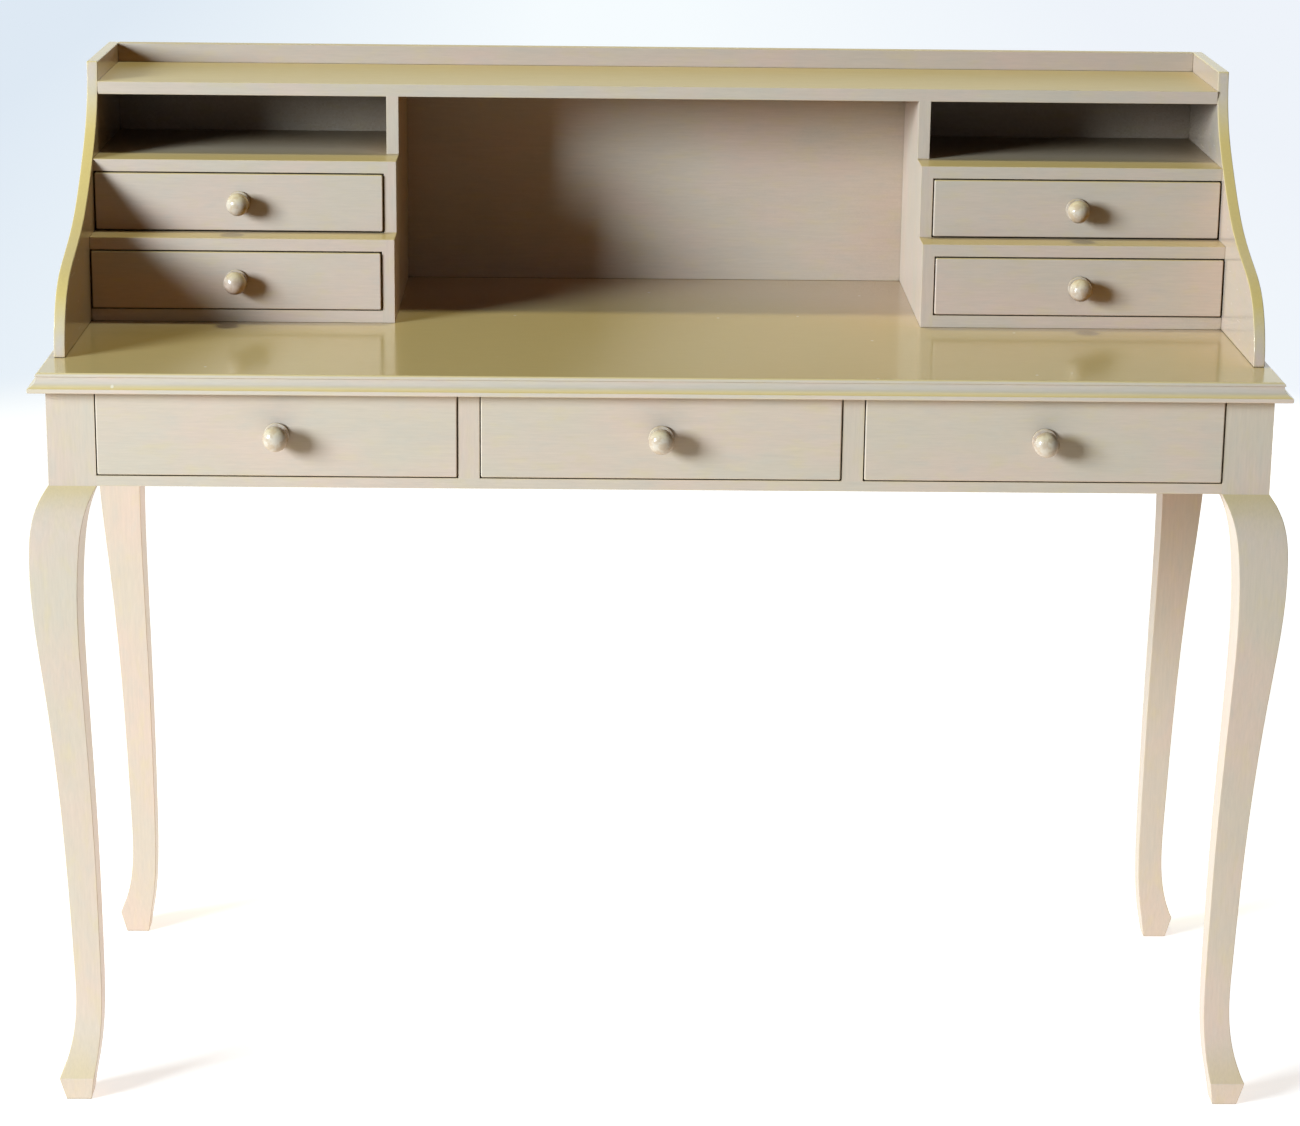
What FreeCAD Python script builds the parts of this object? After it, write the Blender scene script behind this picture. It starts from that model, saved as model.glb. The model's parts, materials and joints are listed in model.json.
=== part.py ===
import FreeCAD, Part

import os
import re
import Sketcher
from FreeCAD import Rotation, Vector

# A bonheur du jour: a painted writing desk on four cabriole legs, with a stepped
# superstructure of pigeonholes and small drawers on its back half.
# Millimetres. +Z is up, -Y is towards someone who sits at the desk, +X is to their right.
# The origin is on the floor, in the middle of the desk's length and depth.

SIZES = {
    # desk as a whole
    "desk_width": 1240.0,            # across the moulded lip of the desktop
    "desk_depth": 536.0,             # from the lip to the desktop's plain back edge
    "desk_height": 770.0,            # floor to writing surface
    # desktop's edge moulding: a round lip, a cove, a quirk and a quarter-round bead
    "desktop_thickness": 19.0,
    "lip_round": 1.5,
    "lip_height": 4.5,
    "cove_depth": 8.2,
    "cove_height": 10.1,
    "cove_sag": 1.4,
    "quirk_height": 0.8,
    "bead_setback": 7.0,
    "bead_width": 3.2,
    # legs: the outer faces of each block stand in from the lip by the overhang
    "leg_overhang": 15.6,
    "back_overhang": 30.0,           # desktop's back edge past the rear leg blocks
    "block_width": 47.5,
    # stations of the leg's outline: how far the outer face reaches past the block's
    # (less than nothing where it lies inside), and the width of the stick there
    "floor_reach": 3.5,
    "floor_width": 25.5,
    "foot_height": 25.0,
    "foot_reach": 9.5,
    "foot_width": 35.5,
    "instep_height": 60.0,
    "instep_reach": -2.5,
    "instep_width": 29.0,
    "ankle_height": 150.0,
    "ankle_reach": -7.0,
    "ankle_width": 27.5,
    "shin_share": 0.34,              # station heights between the ankle and the knee
    "shin_reach": -1.0,
    "shin_width": 31.5,
    "thigh_share": 0.68,
    "thigh_reach": 10.5,
    "thigh_width": 38.5,
    "knee_drop": 65.0,               # below the block
    "knee_reach": 19.0,
    "knee_width": 49.0,
    "shoulder_drop": 24.0,           # rounding of the knee's top, below the block
    "shoulder_reach": 13.0,
    "shoulder_width": 50.0,
    # aprons and what carries the wide drawers
    "apron_height": 96.0,
    "apron_thickness": 20.0,
    "apron_tenon_length": 28.0,
    "apron_tenon_thickness": 8.0,
    "apron_tenon_inset": 12.0,       # from the apron's upper and lower edges
    "apron_tenon_setback": 6.0,      # from the apron's outer face
    "rail_height": 10.5,
    "rail_depth": 45.0,
    "rail_tenon_length": 15.0,
    "rail_tenon_thickness": 6.0,
    "rail_tenon_inset": 8.0,         # from the rail's front and back
    "divider_width": 21.0,
    "stub_length": 6.0,              # a divider's stub tenon, down into the rail
    "stub_inset": 5.0,
    "middle_opening": 358.0,         # between the two dividers
    "ledge_width": 20.0,             # what each wide drawer's side runs on
    "guide_height": 20.0,
    # superstructure, its setbacks measured from the desktop's lip
    "panel_overhang": 15.0,          # desktop's ends past the outer faces of the side panels
    "panel_thickness": 11.5,
    "panel_foot_setback": 80.0,
    "ogee_toe_setback": 87.0,        # stations of the panel's S-shaped front edge
    "ogee_toe_rise": 33.0,
    "ogee_crown_setback": 108.0,
    "ogee_crown_rise": 62.0,
    "ogee_waist_setback": 168.0,
    "ogee_waist_rise": 89.0,
    "ogee_sweep_setback": 238.0,
    "ogee_sweep_rise": 115.0,
    "ogee_cover": 1.0,               # panel's edge ahead of the upper shelf
    "ogee_neck_cover": 13.0,         # panel's edge ahead of the top board
    "ogee_neck_share": 0.41,
    "ogee_top_lean": 4.0,            # panel's top corner behind the top board's front
    "lower_tier_setback": 267.0,
    "upper_tier_setback": 309.0,
    "top_tier_setback": 360.0,
    "partition_spread": 578.0,       # over the outer faces of the two partitions
    "partition_thickness": 13.0,
    "shelf_thickness": 13.0,
    "small_opening_height": 62.5,
    "pigeonhole_height": 61.0,
    "top_board_thickness": 13.5,
    "gallery_height": 20.5,
    "gallery_thickness": 12.0,
    "back_panel_thickness": 9.0,
    "back_rebate": 5.0,
    "housing_depth": 4.0,
    # drawers
    "front_gap": 1.2,                # round a drawer's front
    "small_front_stand": 2.5,        # a front's face ahead of the boards round it
    "wide_front_stand": 1.5,
    "running_gap": 0.3,              # under a drawer's sides
    "head_gap": 2.5,                 # over a drawer's sides
    "rear_gap": 3.0,                 # behind a drawer
    "front_rounding": 1.2,
    "lap_share": 0.6,                # of the front's thickness, taken by the sides' ends
    "bottom_rise": 6.0,              # a drawer's bottom above its sides' lower edge
    "bottom_groove_depth": 4.0,
    "small_front_thickness": 14.0,
    "small_side_thickness": 8.0,
    "small_bottom_thickness": 4.0,
    "wide_front_thickness": 18.0,
    "wide_side_thickness": 10.0,
    "wide_bottom_thickness": 6.0,
    # turned knobs: a flange, a short neck and a ball that tapers back to it
    "small_knob_radius": 12.0,
    "small_knob_reach": 26.5,
    "wide_knob_radius": 12.7,
    "wide_knob_reach": 27.5,
    "knob_taper_share": 0.75,        # of the radius, from the ball's widest part back to the neck
    "knob_flange_thickness": 3.0,
    "knob_flange_chamfer": 1.0,
    "knob_neck_radius": 6.5,
    "knob_tenon_radius": 5.0,
    "knob_tenon_gap": 0.05,
}

doc = FreeCAD.newDocument("bonheur_du_jour")
sheet = doc.addObject("Spreadsheet::Sheet", "sizes")
for row, (alias, value) in enumerate(SIZES.items(), start=1):
    sheet.set(f"A{row}", alias.replace("_", " "))
    sheet.set(f"B{row}", str(value))
    sheet.setAlias(f"B{row}", alias)
SPARE_CELL = "D1"
doc.recompute()

NODES = []


# ---- places, as expressions of the sheet's aliases ----

LIP = "(-(desk_depth - wide_knob_reach - wide_front_stand + leg_overhang) / 2)"
DESK_BACK = f"({LIP} + desk_depth)"
UNDERSIDE = "(desk_height - desktop_thickness)"
APRON_BOTTOM = f"({UNDERSIDE} - apron_height)"
RAIL_TOP = f"({APRON_BOTTOM} + rail_height)"
BLOCK_OUT = "(desk_width / 2 - leg_overhang)"
BLOCK_IN = f"({BLOCK_OUT} - block_width)"
BLOCK_FRONT = f"({LIP} + leg_overhang)"
BLOCK_FRONT_IN = f"({BLOCK_FRONT} + block_width)"
BLOCK_BACK = f"({DESK_BACK} - back_overhang)"
BLOCK_BACK_IN = f"({BLOCK_BACK} - block_width)"
APRON_IN = f"({BLOCK_OUT} - apron_thickness)"
BACK_APRON_IN = f"({BLOCK_BACK} - apron_thickness)"
DIVIDER_IN = "(middle_opening / 2)"
DIVIDER_OUT = f"({DIVIDER_IN} + divider_width)"
PANEL_OUT = "(desk_width / 2 - panel_overhang)"
PANEL_IN = f"({PANEL_OUT} - panel_thickness)"
PARTITION_OUT = "(partition_spread / 2)"
PARTITION_IN = f"({PARTITION_OUT} - partition_thickness)"
LOWER_FRONT = f"({LIP} + lower_tier_setback)"
UPPER_FRONT = f"({LIP} + upper_tier_setback)"
TOP_FRONT = f"({LIP} + top_tier_setback)"
BACK_PANEL_FRONT = f"({DESK_BACK} - back_panel_thickness)"
BASE_TOP = "(desk_height + shelf_thickness)"
LOWER_SHELF = f"({BASE_TOP} + small_opening_height)"
LOWER_SHELF_TOP = f"({LOWER_SHELF} + shelf_thickness)"
UPPER_SHELF = f"({LOWER_SHELF_TOP} + small_opening_height)"
UPPER_SHELF_TOP = f"({UPPER_SHELF} + shelf_thickness)"
TOP_BOARD = f"({UPPER_SHELF_TOP} + pigeonhole_height)"
TOP_BOARD_TOP = f"({TOP_BOARD} + top_board_thickness)"
GALLERY_TOP = f"({TOP_BOARD_TOP} + gallery_height)"

LEFT, RIGHT = "left", "right"


# ---- ways of making ----

def number(expression):
    """What an expression of the aliases comes to, worked out in a spare cell."""
    sheet.set(SPARE_CELL, f"={expression}")
    sheet.recompute()
    return float(sheet.get(SPARE_CELL))


def bind(target, prop, expression):
    """Tie a property to an expression of the aliases."""
    def name_cell(found):
        return f"sizes.{found[0]}" if found[0] in SIZES else found[0]
    target.setExpression(prop, re.sub(r"[a-z][a-z_]*", name_cell, expression))


def node(made, name):
    """Enter a finished sub-part under its own name."""
    made.Label = name
    NODES.append(made)
    return made


def box(name, across, deep, high):
    """A board between three pairs of planes, each given as two expressions."""
    made = doc.addObject("Part::Box", name)
    spans = zip(("Length", "Width", "Height"), "xyz", (across, deep, high))
    for prop, axis, (low, top) in spans:
        bind(made, prop, f"{top} - {low}")
        bind(made, f"Placement.Base.{axis}", low)
    return made


def sided(side, inner, outer):
    """The span from inner to outer on the desk's left or right half."""
    if side == RIGHT:
        return inner, outer
    return f"(-{outer})", f"(-{inner})"


def joined(name, pieces):
    """Pieces glued to one, or kept as a group where they stand apart."""
    made = doc.addObject("Part::MultiFuse", name)
    made.Shapes = pieces
    return made


def cut(name, base, tools):
    """A piece less all its mortises, housings, grooves or bores."""
    made = doc.addObject("Part::Cut", name)
    made.Base = base
    made.Tool = tools[0] if len(tools) == 1 else joined(f"{name}_waste", tools)
    return made


def mirrored(name, source, normal, plane_y=None):
    """The other hand of a piece, over a plane through the origin or at a depth."""
    made = doc.addObject("Part::Mirroring", name)
    made.Source = source
    made.Normal = normal
    if plane_y:
        bind(made, "Base.y", plane_y)
    return made


def edge(kind, spots):
    """One edge of an outline: a line, an arc through three spots or a smooth curve."""
    if kind == "line":
        return Part.LineSegment(*spots)
    if kind == "arc":
        return Part.Arc(*spots)
    made = Part.BSplineCurve()
    made.interpolate(spots)
    return made


def draw(sketch, edges):
    """Add a closed outline to a sketch and tie each corner to its expressions.

    Each edge is a kind and its points, and ends where the next one starts. A sketch
    takes arcs counter-clockwise, so the others go in from their far end.
    """
    first = sketch.GeometryCount
    shapes, ends = [], []
    for kind, points in edges:
        spots = [Vector(number(a), number(b), 0) for a, b in points]
        turned = kind == "arc" and (spots[1] - spots[0]).cross(spots[2] - spots[0]).z < 0
        shapes.append(edge(kind, spots[::-1] if turned else spots))
        ends.append((2, 1) if turned else (1, 2))
    sketch.addGeometry(shapes, False)
    for at, (kind, points) in enumerate(edges):
        following = (at + 1) % len(edges)
        sketch.addConstraint(Sketcher.Constraint("Coincident", first + at, ends[at][1],
                                                 first + following, ends[following][0]))
        for direction, expression in zip(("DistanceX", "DistanceY"), points[0]):
            held = Sketcher.Constraint(direction, -1, 1, first + at, ends[at][0], number(expression))
            bind(sketch, f"Constraints[{sketch.addConstraint(held)}]", expression)


def lines(points):
    """Straight edges through the points, in order."""
    return [("line", pair) for pair in zip(points, points[1:])]


def sketch_on(body, role, name, outlines):
    """A sketch of closed outlines on one of the body's own planes."""
    sketch = body.newObject("Sketcher::SketchObject", name)
    plane = next(p for p in body.Origin.OriginFeatures if p.Role == role)
    sketch.AttachmentSupport = [(plane, "")]
    sketch.MapMode = "FlatFace"
    for outline in outlines:
        draw(sketch, outline)
    return sketch


def sawn_both_ways(name, front_outline, side_outline, reach, place):
    """A piece sawn to one outline from the front, and to another from the side.

    The outlines lie in XZ and YZ of the piece's own frame, which stands at place. Each
    sawing reaches that far to both sides of its plane, and the piece is what both leave.
    """
    sawings = []
    views = {"front": ("XZ_Plane", front_outline), "side": ("YZ_Plane", side_outline)}
    for view, (role, outline) in views.items():
        body = doc.addObject("PartDesign::Body", f"{name}_{view}_sawing")
        pad = body.newObject("PartDesign::Pad", f"{name}_{view}_pad")
        pad.Profile = sketch_on(body, role, f"{name}_{view}_outline", [outline])
        pad.Midplane = True
        bind(pad, "Length", f"2 * {reach}")
        for axis, expression in place.items():
            bind(body, f"Placement.Base.{axis}", expression)
        sawings.append(body)
    made = doc.addObject("Part::MultiCommon", name)
    made.Shapes = sawings
    return made


# ---- legs ----

def leg_outline():
    """The outline of a cabriole leg, from its outer face inwards and from the floor up.

    It runs round the foot, up the inner side, over the block and down the outer side.
    """
    knee = f"({APRON_BOTTOM} - knee_drop)"
    calf = f"({knee} - ankle_height)"
    heights = {
        "foot": "foot_height",
        "instep": "instep_height",
        "ankle": "ankle_height",
        "shin": f"(ankle_height + shin_share * {calf})",
        "thigh": f"(ankle_height + thigh_share * {calf})",
        "knee": knee,
        "shoulder": f"({APRON_BOTTOM} - shoulder_drop)",
    }
    outer = [(f"(-{name}_reach)", height) for name, height in heights.items()]
    inner = [(f"({name}_width - {name}_reach)", height) for name, height in heights.items()]
    inner_corner = ("block_width", APRON_BOTTOM)
    outer_corner = ("0", APRON_BOTTOM)
    floor = [("(-floor_reach)", "0"), ("(floor_width - floor_reach)", "0")]
    return (
        lines([outer[0], *floor, inner[0]])
        + [("curve", [*inner, inner_corner])]
        + lines([inner_corner, ("block_width", UNDERSIDE), ("0", UNDERSIDE), outer_corner])
        + [("curve", [outer_corner, *reversed(outer)])]
    )


def leg_mortises(name, end, front_leg):
    """What a left leg's block loses to the tenons of the apron, and of rail or back apron."""
    high = (f"({APRON_BOTTOM} + apron_tenon_inset)", f"({UNDERSIDE} - apron_tenon_inset)")
    across = (f"(-{BLOCK_OUT} + apron_tenon_setback)",
              f"(-{BLOCK_OUT} + apron_tenon_setback + apron_tenon_thickness)")
    mortises = [box(f"{name}_apron_mortise", across, end, high)]
    if front_leg:
        rail_end = (f"(-{BLOCK_IN} - rail_tenon_length)", f"(-{BLOCK_IN})")
        mortises.append(box(f"{name}_rail_mortise", rail_end, *RAIL_TENON))
    else:
        back_end = (f"(-{BLOCK_IN} - apron_tenon_length)", f"(-{BLOCK_IN})")
        mortises.append(box(f"{name}_back_mortise", back_end, BACK_TENON_DEEP, high))
    return mortises


RAIL_TENON = (
    (f"({BLOCK_FRONT} + rail_tenon_inset)", f"({BLOCK_FRONT} + rail_depth - rail_tenon_inset)"),
    (f"({APRON_BOTTOM} + rail_height / 2 - rail_tenon_thickness / 2)",
     f"({APRON_BOTTOM} + rail_height / 2 + rail_tenon_thickness / 2)"),
)
BACK_TENON_DEEP = (f"({BLOCK_BACK} - apron_tenon_setback - apron_tenon_thickness)",
                   f"({BLOCK_BACK} - apron_tenon_setback)")
FRONT_TENON_END = f"({BLOCK_FRONT_IN} - apron_tenon_length)"
BACK_TENON_END = f"({BLOCK_BACK_IN} + apron_tenon_length)"


def legs():
    """Four legs, each one stick: the front pair faces forwards, the rear pair backwards."""
    outline = leg_outline()
    corner = {"x": f"(-{BLOCK_OUT})", "y": BLOCK_FRONT}
    stick = sawn_both_ways("leg_stick", outline, outline, "(2 * block_width)", corner)
    middle = f"(({BLOCK_FRONT} + {BLOCK_BACK}) / 2)"
    rear_stick = mirrored("rear_leg_stick", stick, Vector(0, 1, 0), middle)
    ends = {
        "front": (stick, (FRONT_TENON_END, BLOCK_FRONT_IN)),
        "rear": (rear_stick, (BLOCK_BACK_IN, BACK_TENON_END)),
    }
    for place, (blank, end) in ends.items():
        name = f"{place}_left_leg"
        left_leg = cut(name, blank, leg_mortises(name, end, place == "front"))
        node(left_leg, name)
        node(mirrored(f"{place}_right_leg", left_leg, Vector(1, 0, 0)), f"{place}_right_leg")


# ---- aprons, rail, dividers, runners ----

def aprons():
    """Side and back aprons, tenoned into the leg blocks."""
    board_high = (APRON_BOTTOM, UNDERSIDE)
    tenon_high = (f"({APRON_BOTTOM} + apron_tenon_inset)", f"({UNDERSIDE} - apron_tenon_inset)")
    for side in (LEFT, RIGHT):
        board = box(f"{side}_apron_board", sided(side, APRON_IN, BLOCK_OUT),
                    (BLOCK_FRONT_IN, BLOCK_BACK_IN), board_high)
        across = sided(side, f"({BLOCK_OUT} - apron_tenon_setback - apron_tenon_thickness)",
                       f"({BLOCK_OUT} - apron_tenon_setback)")
        tenons = box(f"{side}_apron_tenons", across, (FRONT_TENON_END, BACK_TENON_END), tenon_high)
        node(joined(f"{side}_apron", [board, tenons]), f"{side}_apron")
    board = box("back_apron_board", (f"(-{BLOCK_IN})", BLOCK_IN), (BACK_APRON_IN, BLOCK_BACK), board_high)
    reach = f"({BLOCK_IN} + apron_tenon_length)"
    tenons = box("back_apron_tenons", (f"(-{reach})", reach), BACK_TENON_DEEP, tenon_high)
    node(joined("back_apron", [board, tenons]), "back_apron")


def divider_stub(name, side):
    """A divider's stub tenon, or the socket in the rail that takes it."""
    return box(name, sided(side, f"({DIVIDER_IN} + stub_inset)", f"({DIVIDER_OUT} - stub_inset)"),
               (f"({BLOCK_FRONT} + stub_inset)", f"({BLOCK_FRONT} + rail_depth - stub_inset)"),
               (f"({RAIL_TOP} - stub_length)", RAIL_TOP))


def front_rail():
    """The thin rail under the wide drawers, stub-tenoned into the front legs."""
    rail = box("front_rail_board", (f"(-{BLOCK_IN})", BLOCK_IN),
               (BLOCK_FRONT, f"({BLOCK_FRONT} + rail_depth)"), (APRON_BOTTOM, RAIL_TOP))
    reach = f"({BLOCK_IN} + rail_tenon_length)"
    tenons = box("front_rail_tenons", (f"(-{reach})", reach), *RAIL_TENON)
    sockets = [divider_stub(f"{side}_divider_socket", side) for side in (LEFT, RIGHT)]
    node(cut("front_rail", joined("front_rail_tenoned", [rail, tenons]), sockets), "front_rail")


def dividers():
    """The two stiles between the wide drawers, from the rail to the desktop."""
    for side in (LEFT, RIGHT):
        name = f"{side}_drawer_divider"
        stile = box(f"{name}_stile", sided(side, DIVIDER_IN, DIVIDER_OUT),
                    (BLOCK_FRONT, f"({BLOCK_FRONT} + rail_depth)"), (RAIL_TOP, UNDERSIDE))
        node(joined(name, [stile, divider_stub(f"{name}_stub", side)]), name)


def runners():
    """Boards that the wide drawers run on, level with the rail, and strips that guide them."""
    behind_rail = f"({BLOCK_FRONT} + rail_depth)"
    board_high = (APRON_BOTTOM, RAIL_TOP)
    strip_high = (RAIL_TOP, f"({RAIL_TOP} + guide_height)")
    boards, strips = [], []
    for side in (LEFT, RIGHT):
        middle = sided(side, f"({DIVIDER_IN} - ledge_width)", f"({DIVIDER_OUT} + ledge_width)")
        boards.append(box(f"{side}_middle_runner", middle, (behind_rail, BACK_APRON_IN), board_high))
        strips.append(box(f"{side}_middle_guide", sided(side, DIVIDER_IN, DIVIDER_OUT),
                          (behind_rail, BACK_APRON_IN), strip_high))
        end = sided(side, f"({BLOCK_IN} - ledge_width)", APRON_IN)
        between_legs = (BLOCK_FRONT_IN, BLOCK_BACK_IN)
        boards.append(box(f"{side}_end_runner", end, between_legs, board_high))
        beside_block = sided(side, BLOCK_IN, APRON_IN)
        strips.append(box(f"{side}_end_guide", beside_block, between_legs, strip_high))
    node(joined("drawer_runners", boards), "drawer_runners")
    node(joined("drawer_guides", strips), "drawer_guides")


# ---- desktop ----

def moulding():
    """The edge moulding from the underside up: distance in from the lip, and height."""
    cove_foot = ("0", f"({UNDERSIDE} + lip_height)")
    cove_top = ("cove_depth", f"({UNDERSIDE} + lip_height + cove_height)")
    cove_middle = ("(cove_depth / 2 + cove_sag)",
                   f"({UNDERSIDE} + lip_height + cove_height / 2 - cove_sag)")
    bead_foot_height = f"({UNDERSIDE} + lip_height + cove_height + quirk_height)"
    bead_foot = ("bead_setback", bead_foot_height)
    bead_top = ("(bead_setback + bead_width)", "desk_height")
    bead_middle = ("(bead_setback + bead_width * 0.3)",
                   f"({bead_foot_height} + (desk_height - {bead_foot_height}) * 0.7)")
    lip_foot = ("lip_round", UNDERSIDE)
    lip_middle = ("(lip_round * 0.3)", f"({UNDERSIDE} + lip_round * 0.3)")
    lip_side = ("0", f"({UNDERSIDE} + lip_round)")
    return [
        ("arc", [lip_foot, lip_middle, lip_side]),
        ("line", [lip_side, cove_foot]),
        ("arc", [cove_foot, cove_middle, cove_top]),
        ("line", [cove_top, ("cove_depth", bead_foot_height)]),
        ("line", [("cove_depth", bead_foot_height), bead_foot]),
        ("arc", [bead_foot, bead_middle, bead_top]),
    ]


def moved(edges, place):
    """The same edges with each distance from the lip put where place says."""
    return [(kind, [(place(inwards), height) for inwards, height in points]) for kind, points in edges]


def reversed_edges(edges):
    """The same edges run the other way."""
    return [(kind, list(reversed(points))) for kind, points in reversed(edges)]


def desktop():
    """The slab, its moulding mitred round the front and both ends, its back edge plain."""
    left_end = moved(moulding(), lambda inwards: f"(-desk_width / 2 + {inwards})")
    right_end = moved(moulding(), lambda inwards: f"(desk_width / 2 - {inwards})")
    across = (left_end
              + lines([left_end[-1][1][-1], right_end[-1][1][-1]])
              + reversed_edges(right_end)
              + lines([right_end[0][1][0], left_end[0][1][0]]))
    front = moulding()
    deep = front + lines([front[-1][1][-1], ("desk_depth", "desk_height"),
                          ("desk_depth", UNDERSIDE), front[0][1][0]])
    node(sawn_both_ways("desktop", across, deep, "desk_width", {"y": LIP}), "desktop")


# ---- superstructure ----

def panel_outline():
    """A side panel from the desktop's lip backwards: its front edge is one long S."""
    def rise(name):
        return f"(desk_height + {name})"
    neck_height = f"({UPPER_SHELF_TOP} + ogee_neck_share * ({GALLERY_TOP} - {UPPER_SHELF_TOP}))"
    front_edge = [
        ("panel_foot_setback", "desk_height"),
        ("ogee_toe_setback", rise("ogee_toe_rise")),
        ("ogee_crown_setback", rise("ogee_crown_rise")),
        ("ogee_waist_setback", rise("ogee_waist_rise")),
        ("ogee_sweep_setback", rise("ogee_sweep_rise")),
        ("(upper_tier_setback - ogee_cover)", UPPER_SHELF_TOP),
        ("(top_tier_setback - ogee_neck_cover)", neck_height),
        ("(top_tier_setback + ogee_top_lean)", GALLERY_TOP),
    ]
    return [("curve", front_edge)] + lines([front_edge[-1], ("desk_depth", GALLERY_TOP),
                                            ("desk_depth", "desk_height"), front_edge[0]])


def side_panels():
    """The S-edged ends, housed for the shelves and the top board and rebated for the back."""
    body = doc.addObject("PartDesign::Body", "panel_blank")
    pad = body.newObject("PartDesign::Pad", "panel_blank_board")
    pad.Profile = sketch_on(body, "YZ_Plane", "panel_blank_outline", [panel_outline()])
    bind(pad, "Length", "panel_thickness")
    bind(body, "Placement.Base.x", PANEL_IN)
    bind(body, "Placement.Base.y", LIP)
    housing = (PANEL_IN, f"({PANEL_IN} + housing_depth)")
    rebate = (PANEL_IN, f"({PANEL_IN} + back_rebate)")
    waste = [
        box("panel_lower_housing", housing, (LOWER_FRONT, DESK_BACK), (LOWER_SHELF, LOWER_SHELF_TOP)),
        box("panel_upper_housing", housing, (UPPER_FRONT, DESK_BACK), (UPPER_SHELF, UPPER_SHELF_TOP)),
        box("panel_top_housing", housing, (TOP_FRONT, DESK_BACK), (TOP_BOARD, TOP_BOARD_TOP)),
        box("panel_rebate", rebate, (BACK_PANEL_FRONT, DESK_BACK), ("desk_height", TOP_BOARD)),
    ]
    right_panel = cut("right_side_panel", body, waste)
    node(mirrored("left_side_panel", right_panel, Vector(1, 0, 0)), "left_side_panel")
    node(right_panel, "right_side_panel")


def partitions():
    """The uprights beside the central bay, stepped back tier by tier."""
    lower_deep, upper_deep, top_deep = [(front, BACK_PANEL_FRONT)
                                        for front in (LOWER_FRONT, UPPER_FRONT, TOP_FRONT)]
    for side in (LEFT, RIGHT):
        name = f"{side}_partition"
        across = sided(side, PARTITION_IN, PARTITION_OUT)
        housing = sided(side, f"({PARTITION_OUT} - housing_depth)", PARTITION_OUT)
        steps = [
            box(f"{name}_lower_step", across, lower_deep, ("desk_height", LOWER_SHELF_TOP)),
            box(f"{name}_upper_step", across, upper_deep, (LOWER_SHELF_TOP, UPPER_SHELF_TOP)),
            box(f"{name}_top_step", across, top_deep, (UPPER_SHELF_TOP, TOP_BOARD)),
        ]
        waste = [
            box(f"{name}_lower_housing", housing, lower_deep, (LOWER_SHELF, LOWER_SHELF_TOP)),
            box(f"{name}_upper_housing", housing, upper_deep, (UPPER_SHELF, UPPER_SHELF_TOP)),
        ]
        node(cut(name, joined(f"{name}_upright", steps), waste), name)


def shelves():
    """Two shelves and a base board at each side, the shelves let into their housings."""
    housed = (f"({PARTITION_OUT} - housing_depth)", f"({PANEL_IN} + housing_depth)")
    tiers = {
        "lower": (LOWER_FRONT, LOWER_SHELF, LOWER_SHELF_TOP),
        "upper": (UPPER_FRONT, UPPER_SHELF, UPPER_SHELF_TOP),
    }
    for side in (LEFT, RIGHT):
        for tier, (front, low, top) in tiers.items():
            name = f"{side}_{tier}_shelf"
            node(box(name, sided(side, *housed), (front, BACK_PANEL_FRONT), (low, top)), name)
    boards = [box(f"{side}_base_board", sided(side, PARTITION_OUT, PANEL_IN),
                  (LOWER_FRONT, BACK_PANEL_FRONT), ("desk_height", BASE_TOP)) for side in (LEFT, RIGHT)]
    node(joined("base_boards", boards), "base_boards")


def top_and_back():
    """The top board with the gallery rail along its back, and the back panel below it."""
    housed, rebated = f"({PANEL_IN} + housing_depth)", f"({PANEL_IN} + back_rebate)"
    boards = {
        "top_board": (housed, TOP_FRONT, (TOP_BOARD, TOP_BOARD_TOP)),
        "gallery_rail": (PANEL_IN, f"({DESK_BACK} - gallery_thickness)", (TOP_BOARD_TOP, GALLERY_TOP)),
        "back_panel": (rebated, BACK_PANEL_FRONT, ("desk_height", TOP_BOARD)),
    }
    for name, (reach, front, high) in boards.items():
        node(box(name, (f"(-{reach})", reach), (front, DESK_BACK), high), name)


# ---- drawers ----

def knob(name, kind, across, front, height):
    """A turned knob on a drawer's front face, its tenon through the front."""
    body = doc.addObject("PartDesign::Body", name)
    radius, reach = f"{kind}_knob_radius", f"{kind}_knob_reach"
    tenon = "(knob_tenon_radius - knob_tenon_gap)"
    ball = f"(-{reach} + {radius})"
    ball_slope = (f"({ball} - {radius} * sqrt(0.5))", f"({radius} * sqrt(0.5))")
    neck = f"({ball} + {radius} * knob_taper_share)"
    flange_face = "(-knob_flange_thickness)"
    flange_rim = f"({radius} - knob_flange_chamfer)"
    outline = lines([
        (f"(-{reach})", "0"), (f"{kind}_front_thickness", "0"), (f"{kind}_front_thickness", tenon),
        ("0", tenon), ("0", flange_rim), ("(-knob_flange_chamfer)", radius),
        (f"({flange_face} + knob_flange_chamfer)", radius), (flange_face, flange_rim),
        (flange_face, "knob_neck_radius"), (neck, "knob_neck_radius"), (ball, radius),
    ]) + [("arc", [(ball, radius), ball_slope, (f"(-{reach})", "0")])]
    sketch = sketch_on(body, "YZ_Plane", f"{name}_outline", [outline])
    turned = body.newObject("PartDesign::Revolution", f"{name}_turned")
    turned.Profile = sketch
    turned.ReferenceAxis = (sketch, ["H_Axis"])
    turned.Angle = 360
    bind(body, "Placement.Base.x", across)
    bind(body, "Placement.Base.y", front)
    bind(body, "Placement.Base.z", height)
    return node(body, name)


def rounded_front(name, board, front):
    """A drawer front with the arrises round its face softened."""
    doc.recompute()
    face_y = number(front)
    ends = [(at, *[abs(v.Y - face_y) < 0.01 for v in edge_.Vertexes])
            for at, edge_ in enumerate(board.Shape.Edges, start=1)]
    made = doc.addObject("Part::Fillet", name)
    made.Base = board
    rounding = number("front_rounding")
    made.Edges = [(at, rounding, rounding) for at, one, other in ends if one and other]
    return made


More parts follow.
